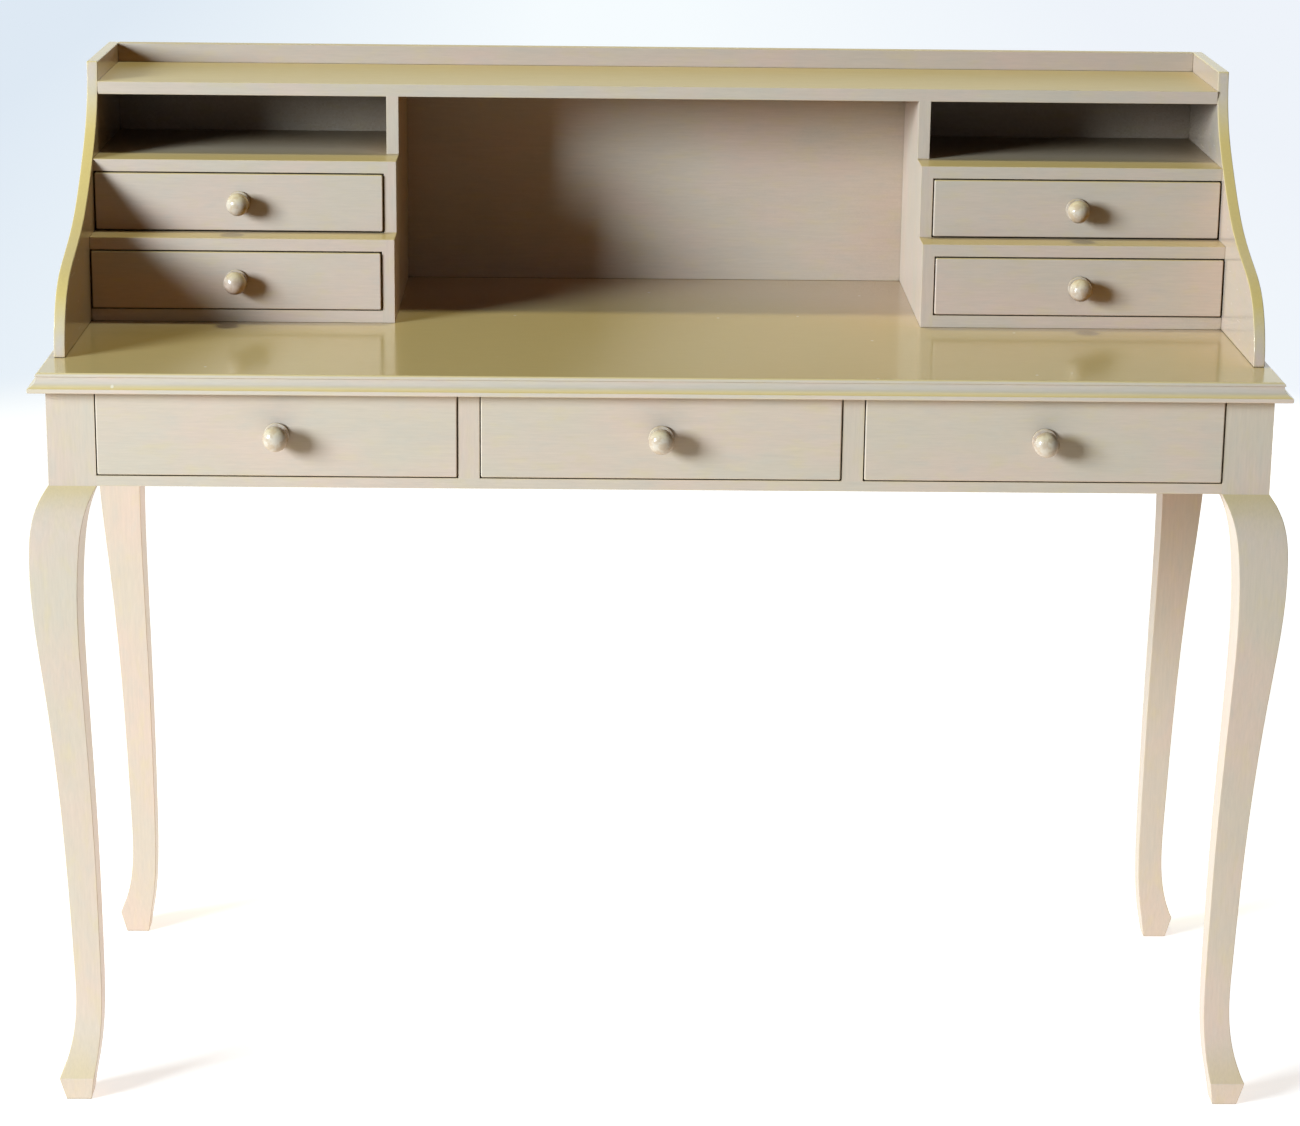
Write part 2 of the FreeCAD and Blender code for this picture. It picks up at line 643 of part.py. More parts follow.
def drawer(name, kind, across, deep, high):
    """A drawer for an opening: front, sides, back, bottom and knob, each its own piece."""
    left, right = f"({across[0]} + front_gap)", f"({across[1]} - front_gap)"
    front, back = f"({deep[0]} - {kind}_front_stand)", f"({deep[1]} - rear_gap)"
    low, top = f"({high[0]} + running_gap)", f"({high[1]} - head_gap)"
    thick, wall, board = f"{kind}_front_thickness", f"{kind}_side_thickness", f"{kind}_bottom_thickness"
    face_back = f"({front} + {thick})"
    lap = f"({face_back} - lap_share * {thick})"
    left_in, right_in = f"({left} + {wall})", f"({right} - {wall})"
    bottom, bottom_top = f"({low} + bottom_rise)", f"({low} + bottom_rise + {board})"
    grooved = (f"({left_in} - bottom_groove_depth)", f"({right_in} + bottom_groove_depth)")
    groove_front = f"({face_back} - bottom_groove_depth)"
    middle, centre = f"(({across[0]} + {across[1]}) / 2)", f"(({high[0]} + {high[1]}) / 2)"

    face = box(f"{name}_front_board", (left, right), (front, face_back),
               (f"({high[0]} + front_gap)", f"({high[1]} - front_gap)"))
    bore = doc.addObject("Part::Cylinder", f"{name}_knob_bore")
    bore.Placement.Rotation = Rotation(Vector(1, 0, 0), -90)
    for prop, expression in (("Radius", "knob_tenon_radius"), ("Height", thick),
                             ("Placement.Base.x", middle), ("Placement.Base.y", front),
                             ("Placement.Base.z", centre)):
        bind(bore, prop, expression)
    front_waste = [
        box(f"{name}_left_lap", (left, left_in), (lap, face_back), high),
        box(f"{name}_right_lap", (right_in, right), (lap, face_back), high),
        box(f"{name}_front_groove", grooved, (groove_front, face_back), (bottom, bottom_top)),
        bore,
    ]
    rounded = rounded_front(f"{name}_front_rounded", face, front)
    node(cut(f"{name}_front", rounded, front_waste), f"{name}_front")

    walls = [box(f"{name}_{side}_side", span, (lap, back), (low, top))
             for side, span in ((LEFT, (left, left_in)), (RIGHT, (right_in, right)))]
    groove = box(f"{name}_side_grooves", grooved, (lap, back), (bottom, bottom_top))
    node(cut(f"{name}_sides", joined(f"{name}_side_pair", walls), [groove]), f"{name}_sides")
    node(box(f"{name}_back", (left_in, right_in), (f"({back} - {wall})", back), (bottom_top, top)),
         f"{name}_back")
    node(box(f"{name}_bottom", grooved, (groove_front, back), (bottom, bottom_top)), f"{name}_bottom")
    knob(f"{name}_knob", kind, middle, front, centre)


def drawers():
    """Two small drawers at each side of the bay, and three wide ones in the apron."""
    tiers = {
        "upper": (UPPER_FRONT, (LOWER_SHELF_TOP, UPPER_SHELF)),
        "lower": (LOWER_FRONT, (BASE_TOP, LOWER_SHELF)),
    }
    for side in (LEFT, RIGHT):
        for tier, (front, high) in tiers.items():
            drawer(f"{tier}_{side}_drawer", "small", sided(side, PARTITION_OUT, PANEL_IN),
                   (front, BACK_PANEL_FRONT), high)
    openings = {
        "left_wide_drawer": sided(LEFT, DIVIDER_OUT, BLOCK_IN),
        "middle_wide_drawer": (f"(-{DIVIDER_IN})", DIVIDER_IN),
        "right_wide_drawer": sided(RIGHT, DIVIDER_OUT, BLOCK_IN),
    }
    for name, across in openings.items():
        drawer(name, "wide", across, (BLOCK_FRONT, BACK_APRON_IN), (RAIL_TOP, UNDERSIDE))


legs()
aprons()
front_rail()
dividers()
runners()
desktop()
side_panels()
partitions()
shelves()
top_and_back()
drawers()
doc.recompute()

for made in doc.Objects:
    if {"Invalid", "Error"} & set(made.State):
        raise RuntimeError(f"{made.Label} failed: {made.State}")
for made in NODES:
    if made.Shape.isNull() or not made.Shape.isValid() or not made.Shape.Solids:
        raise RuntimeError(f"{made.Label} has no valid solid")

os.makedirs("parts", exist_ok=True)
for made in NODES:
    made.Shape.exportStep(f"parts/{made.Label}.step")
    print(f"{made.Label}: {len(made.Shape.Solids)} solid(s), {made.Shape.Volume / 1000:.1f} cm3")
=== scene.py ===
import json
import math

import bmesh
import bpy
from bpy.props import FloatProperty, FloatVectorProperty, PointerProperty
from mathutils import Matrix, Vector

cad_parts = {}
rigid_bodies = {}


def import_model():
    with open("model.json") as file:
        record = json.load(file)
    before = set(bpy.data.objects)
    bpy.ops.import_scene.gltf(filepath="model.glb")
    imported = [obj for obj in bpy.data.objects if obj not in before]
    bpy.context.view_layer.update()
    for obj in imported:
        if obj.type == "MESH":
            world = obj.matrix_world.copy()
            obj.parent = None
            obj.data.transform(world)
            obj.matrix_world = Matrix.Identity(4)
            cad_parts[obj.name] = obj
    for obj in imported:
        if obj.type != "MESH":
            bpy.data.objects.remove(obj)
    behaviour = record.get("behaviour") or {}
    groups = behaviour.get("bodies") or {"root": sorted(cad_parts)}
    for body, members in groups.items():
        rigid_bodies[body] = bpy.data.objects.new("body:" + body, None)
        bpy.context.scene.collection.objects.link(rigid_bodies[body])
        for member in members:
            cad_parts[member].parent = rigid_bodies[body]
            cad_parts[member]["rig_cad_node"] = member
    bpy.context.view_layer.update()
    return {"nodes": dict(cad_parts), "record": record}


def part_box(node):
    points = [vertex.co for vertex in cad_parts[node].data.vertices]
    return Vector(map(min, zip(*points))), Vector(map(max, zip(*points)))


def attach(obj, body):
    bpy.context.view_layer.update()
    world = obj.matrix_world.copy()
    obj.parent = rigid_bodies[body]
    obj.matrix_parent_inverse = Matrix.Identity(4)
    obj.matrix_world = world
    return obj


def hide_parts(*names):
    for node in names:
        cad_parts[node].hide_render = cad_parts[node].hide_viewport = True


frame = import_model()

bl_info = {
    "name": "Bonheur du Jour",
    "version": (1, 0, 0),
    "blender": (4, 5, 0),
    "location": "View3D > Sidebar > Desk",
    "description": "Eases, paints and lights a painted writing desk with a stepped superstructure",
    "category": "Object",
}

MM = 0.001
BODIES = frame["record"]["behaviour"]["bodies"]
CARCASE = "carcase"
DRAWERS = [body for body in BODIES if body != CARCASE]

# Which way each board's grain runs, and the brush with it.
BASE_BOARDS = {
    "front_left_leg": "Z", "front_right_leg": "Z", "rear_left_leg": "Z", "rear_right_leg": "Z",
    "front_rail": "X", "left_drawer_divider": "Z", "right_drawer_divider": "Z",
    "left_apron": "Y", "right_apron": "Y", "back_apron": "X",
}
CASE_BOARDS = {
    "left_partition": "Z", "right_partition": "Z", "base_boards": "X",
    "left_lower_shelf": "X", "left_upper_shelf": "X", "right_lower_shelf": "X", "right_upper_shelf": "X",
    "top_board": "X",
}
BACK_BOARDS = ("gallery_rail", "back_panel")
SIDE_PANELS = ("left_side_panel", "right_side_panel")
BARE_BOARDS = {"drawer_runners": "Y", "drawer_guides": "Y"}
BARE_DRAWER_BOARDS = {"sides": "Y", "back": "X", "bottom": "X"}

MERGE_GAP = 0.002 * MM            # loose triangles' corners nearer than this are one corner
FLAT_ANGLE = math.radians(0.05)   # faces nearer to one plane than this become one face
SHARP_ANGLE = math.radians(30)    # edges that turn more than this are eased and shaded sharp
ARRIS_SEGMENTS = 3


def linear(hexadecimal):
    """An sRGB hex colour as the linear red, green and blue that Blender shades with."""
    values = [int(hexadecimal[at:at + 2], 16) / 255 for at in (1, 3, 5)]
    return [v / 12.92 if v <= 0.04045 else ((v + 0.055) / 1.055) ** 2.4 for v in values]


def colour(name, description, hexadecimal):
    """A colour that the user can change."""
    return FloatVectorProperty(name=name, description=description, subtype="COLOR",
                               min=0, max=1, default=linear(hexadecimal))


def length(name, description, millimetres):
    """A length that the user can change."""
    return FloatProperty(name=name, description=description, unit="LENGTH", subtype="DISTANCE",
                         min=0, precision=5, default=millimetres * MM)


class DeskPaint(bpy.types.PropertyGroup):
    """The paint's colours and how its brushwork and wear are spaced."""

    upright: colour("Upright faces", "Greige paint where it faces sideways", "#CDC0B1")
    # Painted light: this yellower colour stands in for the warm light from above on faces that look up.
    warm_top_light: colour("Upward faces", "The same paint under yellowed varnish, where it faces up", "#CFB774")
    pink: colour("Pink cast", "Where the undercoat shows warm through the paint", "#D6BFB2")
    straw: colour("Straw cast", "Where the varnish lies thick and yellow", "#D2C3A0")
    grey: colour("Grey cast", "Where the paint lies thick and cool", "#C3BDB4")
    # Painted shade: a darker, warmer colour that the paint shows only to light thrown between boards, so that
    # shadows come out deeper and browner.
    thrown: colour("Thrown light", "What varnish leaves of light thrown from board to board", "#CCA020")
    rubbed: colour("Rubbed edges", "Ochre undercoat where hands and cloths have rubbed", "#D3BE83")
    # Painted shade: this dark brown is painted within a few millimetres of each inside corner and groove.
    crevice_shade: colour("Crevices", "Old wax and dust where two boards meet", "#5C4A2C")
    grime: colour("Handled patches", "Where fingers have browned the knobs' paint", "#AE8F6C")
    # Painted shade: this colour darkens the paint deep inside the pigeonholes and other hollows.
    hollow_shade: colour("Deep corners", "What smoke and dust leave of the paint inside the pigeonholes", "#6E5B38")
    primer: colour("Chipped specks", "White primer where the desktop's paint has chipped", "#F1EBDD")
    # A real brush's marks are 0.3 to 1 mm wide: streaks and hairs are drawn coarser, so that they show.
    streak_width: length("Streak width", "Across one mark of the brush", 2.1)
    streak_length: length("Streak length", "Along one mark of the brush", 38)
    hair_width: length("Hair width", "Across the finest line left by the bristles", 1.1)
    blotch_size: length("Blotch size", "Across one cloudy patch of thicker paint", 85)
    mottle_size: length("Mottle size", "Across one small patch of warmer or cooler paint", 12)
    rub_width: length("Rub width", "How far the wear reaches from an arris", 1.6)
    # The crevice reach and the hollow reach set how far the painted shade goes from a corner and into a
    # hollow.
    crevice_reach: length("Crevice reach", "How far wax and dust reach from a corner", 6)
    hollow_reach: length("Hollow reach", "How far the smoke reaches into an opening", 250)
    grime_size: length("Handled patch size", "Across one patch that fingers have browned", 7)
    speck_spacing: length("Speck spacing", "From one chipped speck on the desktop to the next", 75)


class DeskWood(bpy.types.PropertyGroup):
    """The bare wood of runners and drawer boxes."""

    early: colour("Early wood", "The pale wide part of each year's ring", "#D9BC8C")
    late: colour("Late wood", "The dark narrow part of each year's ring", "#B98F57")
    ring_width: length("Ring width", "From one year's ring to the next, on the board's face", 6)


class DeskShapes(bpy.types.PropertyGroup):
    """Sizes of the small forms that finish each piece."""

    board_arris: length("Board arris", "Easing of a board's edges", 0.45)
    front_corner: length("Drawer front corner", "Rounding of a drawer front's four corners", 1.8)
    front_arris: length("Drawer front arris", "Easing round a drawer front's face", 1.35)
    leg_arris: length("Leg arris", "Easing of the sawn legs' edges", 1.3)
    panel_arris: length("Side panel arris", "Easing of the panels' S-shaped edges", 1.1)
    top_arris: length("Desktop arris", "Easing of the desktop's edges", 0.5)


class DeskLight(bpy.types.PropertyGroup):
    """Studio light and the ground that the desk stands on."""

    floor_near: colour("Floor", "The floor about the desk", "#FFFFFF")
    floor_far: colour("Far floor", "The floor far behind the desk", "#F6FCFF")
    floor_left: colour("Far left floor", "The far floor towards the left, away from the light", "#DEE9F4")
    floor_right: colour("Far right floor", "The far floor towards the right", "#EEF3FA")
    bounce: colour("Floor bounce", "What the floor throws back of the light that falls on it", "#B4AC8C")
    glow: colour("Glow", "Light that the floor about the desk throws up at it", "#FFEEE4")
    glow_strength: FloatProperty(name="Glow strength", description="How strongly the floor throws light back",
                                 min=0, default=1.0)
    glow_reach: length("Glow reach", "How far from the desk's middle the floor throws its full light", 900)
    lamp: colour("Lamp", "Light from the small warm lamp overhead", "#FFFBC6")
    lamp_power: FloatProperty(name="Lamp power", description="What the lamp gives off", unit="POWER",
                              min=0, default=21.5)
    lamp_width: length("Lamp width", "Across the lamp", 260)
    fill: colour("Fill light", "Soft light on the back and the right end", "#FFF6EC")
    fill_power: FloatProperty(name="Fill power", description="What the light behind gives off", unit="POWER",
                              min=0, default=160)
    fill_width: length("Fill width", "Across the light behind", 2400)
    window: colour("Window", "Light from the window on the left", "#E9F7FF")
    window_power: FloatProperty(name="Window power", description="What the window gives off", unit="POWER",
                                min=0, default=615)
    window_width: length("Window width", "From side to side of the window", 2100)
    window_height: length("Window height", "From sill to head of the window", 2000)


# ---- modelling ----

def deselect():
    """Nothing selected, and no object in edit mode."""
    if bpy.context.mode != "OBJECT":
        bpy.ops.object.mode_set(mode="OBJECT")
    bpy.ops.object.select_all(action="DESELECT")


def pick(piece):
    """This piece alone selected and active."""
    deselect()
    piece.select_set(True)
    bpy.context.view_layer.objects.active = piece


def taken_up(node, suffix, material):
    """An own copy of a CAD node in that material, its loose triangles merged to whole faces."""
    pick(frame["nodes"][node])
    bpy.ops.object.duplicate()
    piece = bpy.context.active_object
    piece.name = piece.data.name = f"{node}_{suffix}"
    del piece["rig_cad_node"]
    bpy.ops.mesh.customdata_custom_splitnormals_clear()
    bpy.ops.object.mode_set(mode="EDIT")
    bpy.ops.mesh.select_all(action="SELECT")
    bpy.ops.mesh.remove_doubles(threshold=MERGE_GAP)
    bpy.ops.mesh.dissolve_limited(angle_limit=FLAT_ANGLE)
    bpy.ops.object.mode_set(mode="OBJECT")
    piece.data.materials.clear()
    piece.data.materials.append(material)
    return piece


def apply_all(piece):
    """Each modifier of the piece made part of its mesh."""
    pick(piece)
    for modifier in list(piece.modifiers):
        bpy.ops.object.modifier_apply(modifier=modifier.name)


def cut_by(piece, other, operation):
    """The piece joined with the other one or cut down to it, each board keeping its own finish."""
    cut = piece.modifiers.new("cut", "BOOLEAN")
    cut.operation = operation
    cut.solver = "EXACT"
    cut.object = other
    cut.material_mode = "TRANSFER"
    apply_all(piece)
    bpy.data.objects.remove(other)


def seamless(name, boards):
    """One piece of glued boards, with no seam left under the paint where they meet."""
    first, *others = (taken_up(board, "painted", once(greige_paint, along))
                      for board, along in boards.items())
    for other in others:
        cut_by(first, other, "UNION")
    first.name = first.data.name = name
    pick(first)
    bpy.ops.object.mode_set(mode="EDIT")
    bpy.ops.mesh.select_all(action="SELECT")
    bpy.ops.mesh.remove_doubles(threshold=MERGE_GAP)
    bpy.ops.mesh.dissolve_limited(angle_limit=FLAT_ANGLE, delimit={"MATERIAL"})
    bpy.ops.object.mode_set(mode="OBJECT")
    return first


def shaded(piece):
    """The piece shaded round over its small facets, so that flat faces stay flat."""
    pick(piece)
    bpy.ops.object.shade_smooth_by_angle(angle=SHARP_ANGLE)
    flats = piece.modifiers.new("flats", "WEIGHTED_NORMAL")
    flats.keep_sharp = True
    apply_all(piece)
    return piece


def whole_width(middle):
    """Every edge, wherever its middle lies, is eased by the whole width."""
    return 1.0


def eased(piece, width, share=whole_width):
    """The piece with its sharp edges rounded over, each by its share of that width."""
    mesh = bmesh.new()
    mesh.from_mesh(piece.data)
    weight = mesh.edges.layers.float.new("bevel_weight_edge")
    for edge in mesh.edges:
        if len(edge.link_faces) == 2 and edge.calc_face_angle() > SHARP_ANGLE:
            edge[weight] = share((edge.verts[0].co + edge.verts[1].co) / 2)
    mesh.to_mesh(piece.data)
    mesh.free()
    bevel = piece.modifiers.new("arrises", "BEVEL")
    bevel.width = width
    bevel.segments = ARRIS_SEGMENTS
    bevel.limit_method = "WEIGHT"
    apply_all(piece)
    return shaded(piece)


def selected_edges(piece, wanted):
    """Selects, in edit mode, the edges whose two ends the test wants."""
    bpy.ops.mesh.select_mode(type="EDGE")
    bpy.ops.mesh.select_all(action="DESELECT")
    mesh = bmesh.from_edit_mesh(piece.data)
    for edge in mesh.edges:
        edge.select_set(wanted(*(vertex.co for vertex in edge.verts)))
    bmesh.update_edit_mesh(piece.data)


def finish(piece, slot, body, *nodes):
    """Sets a piece on its body and lets it stand for its CAD nodes, which it hides. Its slot is not used."""
    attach(piece, body)
    if nodes:
        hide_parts(*nodes)
    return piece


# ---- materials ----

def add(tree, kind, inputs=(), **settings):
    """Adds a node with its settings, and sets or links each input named or numbered."""
    made = tree.nodes.new(kind)
    for name, value in settings.items():
        setattr(made, name, value)
    for socket, value in dict(inputs).items():
        if isinstance(value, bpy.types.NodeSocket):
            tree.links.new(value, made.inputs[socket])
        else:
            made.inputs[socket].default_value = value
    return made


def new_material(name):
    """An empty node material and its tree."""
    material = bpy.data.materials.new(name)
    material.use_nodes = True
    material.node_tree.nodes.clear()
    return material, material.node_tree


def per_metre(along, length_wise, cross_wise):
    """Pattern repeats per metre in X, Y and Z, for a pattern stretched along one of them."""
    return [1 / length_wise if axis == along else 1 / cross_wise for axis in "XYZ"]


def opaque(values):
    """A colour with its alpha."""
    return (*values, 1)


MIX_A, MIX_B, MIX_OUT = 6, 7, 2      # a colour mix node's own sockets
RANGE_SOCKETS = ("Value", "From Min", "From Max", "To Min", "To Max")
CORNER_SAMPLES = 8                    # rays that feel for a corner, an arris or a hollow


def greige_paint(along, name="brushed_greige_paint", gloss=0.34, varnish=0.1, rub=(1.0, 0.35), yellowing=0.8,
                 tilt=(0.15, 0.7), lift=1.0, specks=False, grime=0.0):
    """Casein-like greige paint, brushed on along the grain over a warm undercoat, then varnished.

    To the eye: short faint streaks, cloudy pink, straw and grey patches, ochre where the
    arrises are rubbed, brown where fingers go, painted shade in the corners and deep in
    the pigeonholes, a soft sheen, and the warm light from above painted on as a yellower
    colour where a face looks up. Rub is how many rub widths the wear reaches from an
    arris, and how far it goes through; tilt is how far up a face looks, as its normal's
    height, where that painted top light starts and where it is full; lift is how bright
    the paint is beside the rest of the desk.
    """
    paint = bpy.context.scene.desk_paint
    rub_reach, rub_depth = rub
    material, tree = new_material(f"{name}_along_{along.lower()}")
    place = add(tree, "ShaderNodeTexCoord").outputs["Object"]
    facing = add(tree, "ShaderNodeNewGeometry").outputs["Normal"]
    board = add(tree, "ShaderNodeObjectInfo").outputs["Random"]
    shifted = add(tree, "ShaderNodeVectorMath", {0: place, 1: board}, operation="ADD").outputs[0]

    # The patterns that the paint's looks follow: one patch along the grain and across it, and its detail.
    patterns = {
        "streaks": (paint.streak_length, paint.streak_width, 3.0),
        "hairs": (paint.streak_length / 3, paint.hair_width, 1.0),
        "clouds": (paint.blotch_size * 1.5, paint.blotch_size, 2.0),
        "mottles": (paint.mottle_size * 2.5, paint.mottle_size, 2.0),
    }
    if grime:
        patterns["fingermarks"] = (paint.grime_size, paint.grime_size, 3.0)
    for pattern, (length_wise, cross_wise, detail) in patterns.items():
        spread = add(tree, "ShaderNodeMapping", {"Vector": shifted,
                                                 "Scale": per_metre(along, length_wise, cross_wise)})
        patterns[pattern] = add(tree, "ShaderNodeTexNoise", {"Vector": spread.outputs[0], "Scale": 1.0,
                                                             "Detail": detail, "Roughness": 0.55}).outputs[0]
    clouds, mottles = patterns["clouds"], patterns["mottles"]

    # The brushwork is three parts of streaks to two of hairs.
    brushed = add(tree, "ShaderNodeMath", {0: patterns["streaks"], 1: 0.6}, operation="MULTIPLY").outputs[0]
    brushed = add(tree, "ShaderNodeMath", {0: patterns["hairs"], 1: 0.4, 2: brushed},
                  operation="MULTIPLY_ADD").outputs[0]

    up = add(tree, "ShaderNodeSeparateXYZ", {0: facing}).outputs["Z"]
    hollow = add(tree, "ShaderNodeAmbientOcclusion", {"Distance": paint.hollow_reach},
                 samples=CORNER_SAMPLES).outputs["AO"]
    crevice = add(tree, "ShaderNodeAmbientOcclusion", {"Distance": paint.crevice_reach},
                  samples=CORNER_SAMPLES).outputs["AO"]
    arris = add(tree, "ShaderNodeAmbientOcclusion", {"Distance": paint.rub_width * rub_reach}, inside=True,
                only_local=True, samples=CORNER_SAMPLES).outputs["AO"]

    # Each look: what it follows, where along that it starts and is full, and its share at either end.
    looks = {
        # Painted light: the warm light from above, as a yellower colour where a face looks up, with less of
        # it in hollows that keep the light out.
        "lamplit": (up, *tilt, 0, yellowing),
        "well lit": (hollow, 0.35, 0.7, 0.3, 1),
        "sideways": (up, 0.7, 0.1, 0, 1),
        "pink": (clouds, 0.42, 0.64, 0, 0.65),
        "straw": (mottles, 0.54, 0.74, 0, 0.42),
        "grey": (mottles, 0.46, 0.26, 0, 0.34),
        "brightness": (brushed, 0.3, 0.7, 0.95 * lift, 1.04 * lift),
        "rubbed": (arris, 0.95, 0.45, 0, rub_depth),
        "patchy": (mottles, 0.4, 0.6, 0.5, 1),
        # Painted shade: darker brown within a few millimetres of any corner or groove; grime widens it on the
        # knobs.
        "crevice shaded": (crevice, 0.55 + grime / 2, 0.1 + grime / 2, 0, 0.8),
        # Painted shade: the paint darkened deep inside the pigeonholes and other hollows.
        "hollow shaded": (hollow, 0.22, 0.03, 0, 0.92),
        "roughness": (brushed, 0.3, 0.7, gloss + 0.06, gloss),
    }
    if specks:
        cells = add(tree, "ShaderNodeTexVoronoi", {"Vector": place, "Scale": 1 / paint.speck_spacing},
                    voronoi_dimensions="2D")
        chance = add(tree, "ShaderNodeSeparateColor", {0: cells.outputs["Color"]}).outputs[0]
        looks["chipped"] = (cells.outputs["Distance"], 0.026, 0.014, 0, 1)
        looks["one in five"] = (chance, 0.8, 0.85, 0, 0.8)
    if grime:
        looks["handled"] = (patterns["fingermarks"], 0.46, 0.6, 0, grime)
    for look, settings in looks.items():
        looks[look] = add(tree, "ShaderNodeMapRange", dict(zip(RANGE_SOCKETS, settings))).outputs[0]
    looks["all over"] = 1.0
    # Painted shade: light that one board throws on another comes off darker and warmer, so that shadows come
    # out deeper and browner.
    looks["thrown"] = add(tree, "ShaderNodeLightPath").outputs["Is Diffuse Ray"]

    for look, limit in (("lamplit", "well lit"), ("pink", "sideways"), ("straw", "sideways"),
                        ("grey", "sideways"), ("rubbed", "patchy"), ("chipped", "one in five")):
        if look in looks:
            looks[look] = add(tree, "ShaderNodeMath", {0: looks[look], 1: looks[limit]},
                              operation="MULTIPLY").outputs[0]

    # From the plain greige outwards: which look brings each colour, and how it lies on what is under it.
    base = opaque(paint.upright)
    for look, over, how in (("lamplit", opaque(paint.warm_top_light), "MIX"), ("pink", opaque(paint.pink), "MIX"),
                            ("straw", opaque(paint.straw), "MIX"), ("grey", opaque(paint.grey), "MIX"),
                            ("all over", looks["brightness"], "MULTIPLY"),
                            ("rubbed", opaque(paint.rubbed), "MIX"), ("chipped", opaque(paint.primer), "MIX"),
                            ("handled", opaque(paint.grime), "MIX"), ("crevice shaded", opaque(paint.crevice_shade), "MIX"),
                            ("hollow shaded", opaque(paint.hollow_shade), "MULTIPLY"),
                            ("thrown", opaque(paint.thrown), "MULTIPLY")):
        if look in looks:
            base = add(tree, "ShaderNodeMix", {0: looks[look], MIX_A: base, MIX_B: over}, data_type="RGBA",
                       blend_type=how).outputs[MIX_OUT]

    relief = add(tree, "ShaderNodeBump", {"Height": brushed, "Strength": 0.06, "Distance": 0.2 * MM})
    shader = add(tree, "ShaderNodeBsdfPrincipled", {
        "Base Color": base, "Roughness": looks["roughness"], "Normal": relief.outputs[0], "IOR": 1.47,
        "Specular IOR Level": 0.2, "Coat Weight": varnish, "Coat Roughness": 0.12, "Coat IOR": 1.5,
    })
    add(tree, "ShaderNodeOutputMaterial", {"Surface": shader.outputs[0]})
    return material


RING_STRETCH = 40                     # how much longer than wide the rings run on a board's face
LATE_SPAN = (0.45, 0.62)              # where in the rings' pattern the late wood starts and is full


def planed_softwood(along):
    """Pine, sawn and planed, left bare and gone honey-coloured.

    To the eye: long straight rings, pale and tawny by turns, with little sheen.
    """
    wood = bpy.context.scene.desk_wood
    material, tree = new_material(f"planed_softwood_along_{along.lower()}")
    place = add(tree, "ShaderNodeTexCoord").outputs["Object"]
    board = add(tree, "ShaderNodeObjectInfo").outputs["Random"]
    shifted = add(tree, "ShaderNodeVectorMath", {0: place, 1: board}, operation="ADD").outputs[0]
    scale = per_metre(along, wood.ring_width * RING_STRETCH, wood.ring_width)
    spread = add(tree, "ShaderNodeMapping", {"Vector": shifted, "Scale": scale}).outputs[0]
    rings = add(tree, "ShaderNodeTexNoise", {"Vector": spread, "Scale": 1.0, "Detail": 3.0,
                                             "Distortion": 0.6}).outputs[0]
    dark = add(tree, "ShaderNodeMapRange", dict(zip(RANGE_SOCKETS, (rings, *LATE_SPAN))),
               interpolation_type="SMOOTHSTEP").outputs[0]
    base = add(tree, "ShaderNodeMix", {0: dark, MIX_A: opaque(wood.early), MIX_B: opaque(wood.late)},
               data_type="RGBA").outputs[MIX_OUT]
    roughness = add(tree, "ShaderNodeMapRange", {"Value": rings, "To Min": 0.7, "To Max": 0.5}).outputs[0]
    relief = add(tree, "ShaderNodeBump", {"Height": rings, "Strength": 0.15, "Distance": 0.2 * MM}).outputs[0]
    shader = add(tree, "ShaderNodeBsdfPrincipled", {"Base Color": base, "Roughness": roughness,
                                                    "Normal": relief, "IOR": 1.5})
    add(tree, "ShaderNodeOutputMaterial", {"Surface": shader.outputs[0]})
    return material


def once(maker, *settings, **named):
    """The material that a maker gives for these settings, made the first time only."""
    key = (maker.__name__, settings, tuple(named.items()))
    if key not in MADE:
        MADE[key] = maker(*settings, **named)
    return MADE[key]


MADE = {}


# ---- the desk's pieces ----

class DESK_OT_paint_base(bpy.types.Operator):
    """Glue, ease and paint the legs, aprons, front rail and dividers, and the moulded desktop"""

    bl_idname = "desk.paint_base"
    bl_label = "Paint the Base"

    def execute(self, context):
        shapes = context.scene.desk_shapes
        rail_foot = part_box("front_rail")[0].z
        board_share = shapes.board_arris / shapes.leg_arris
        base = seamless("painted_base", BASE_BOARDS)
        eased(base, shapes.leg_arris, lambda middle: 1.0 if middle.z < rail_foot else board_share)
        finish(base, "carcase_paint", CARCASE, *BASE_BOARDS)
        # Painted light: lift paints the whole desktop a little lighter for the light it catches from above,
        # and tilt keeps the yellower top colour to faces that look nearly straight up.
        paint = once(greige_paint, "X", name="varnished_desktop_paint", gloss=0.2, varnish=0.6,
                     tilt=(0.5, 0.9), lift=1.08, specks=True)
        top = eased(taken_up("desktop", "painted", paint), shapes.top_arris)
        finish(top, "carcase_paint", CARCASE, "desktop")
        return {"FINISHED"}


def panel_faces(panel):
    """How far along X a side panel's outer face lies, and its inner one."""
    low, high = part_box(panel)
    return (high.x, low.x) if high.x > 0 else (low.x, high.x)


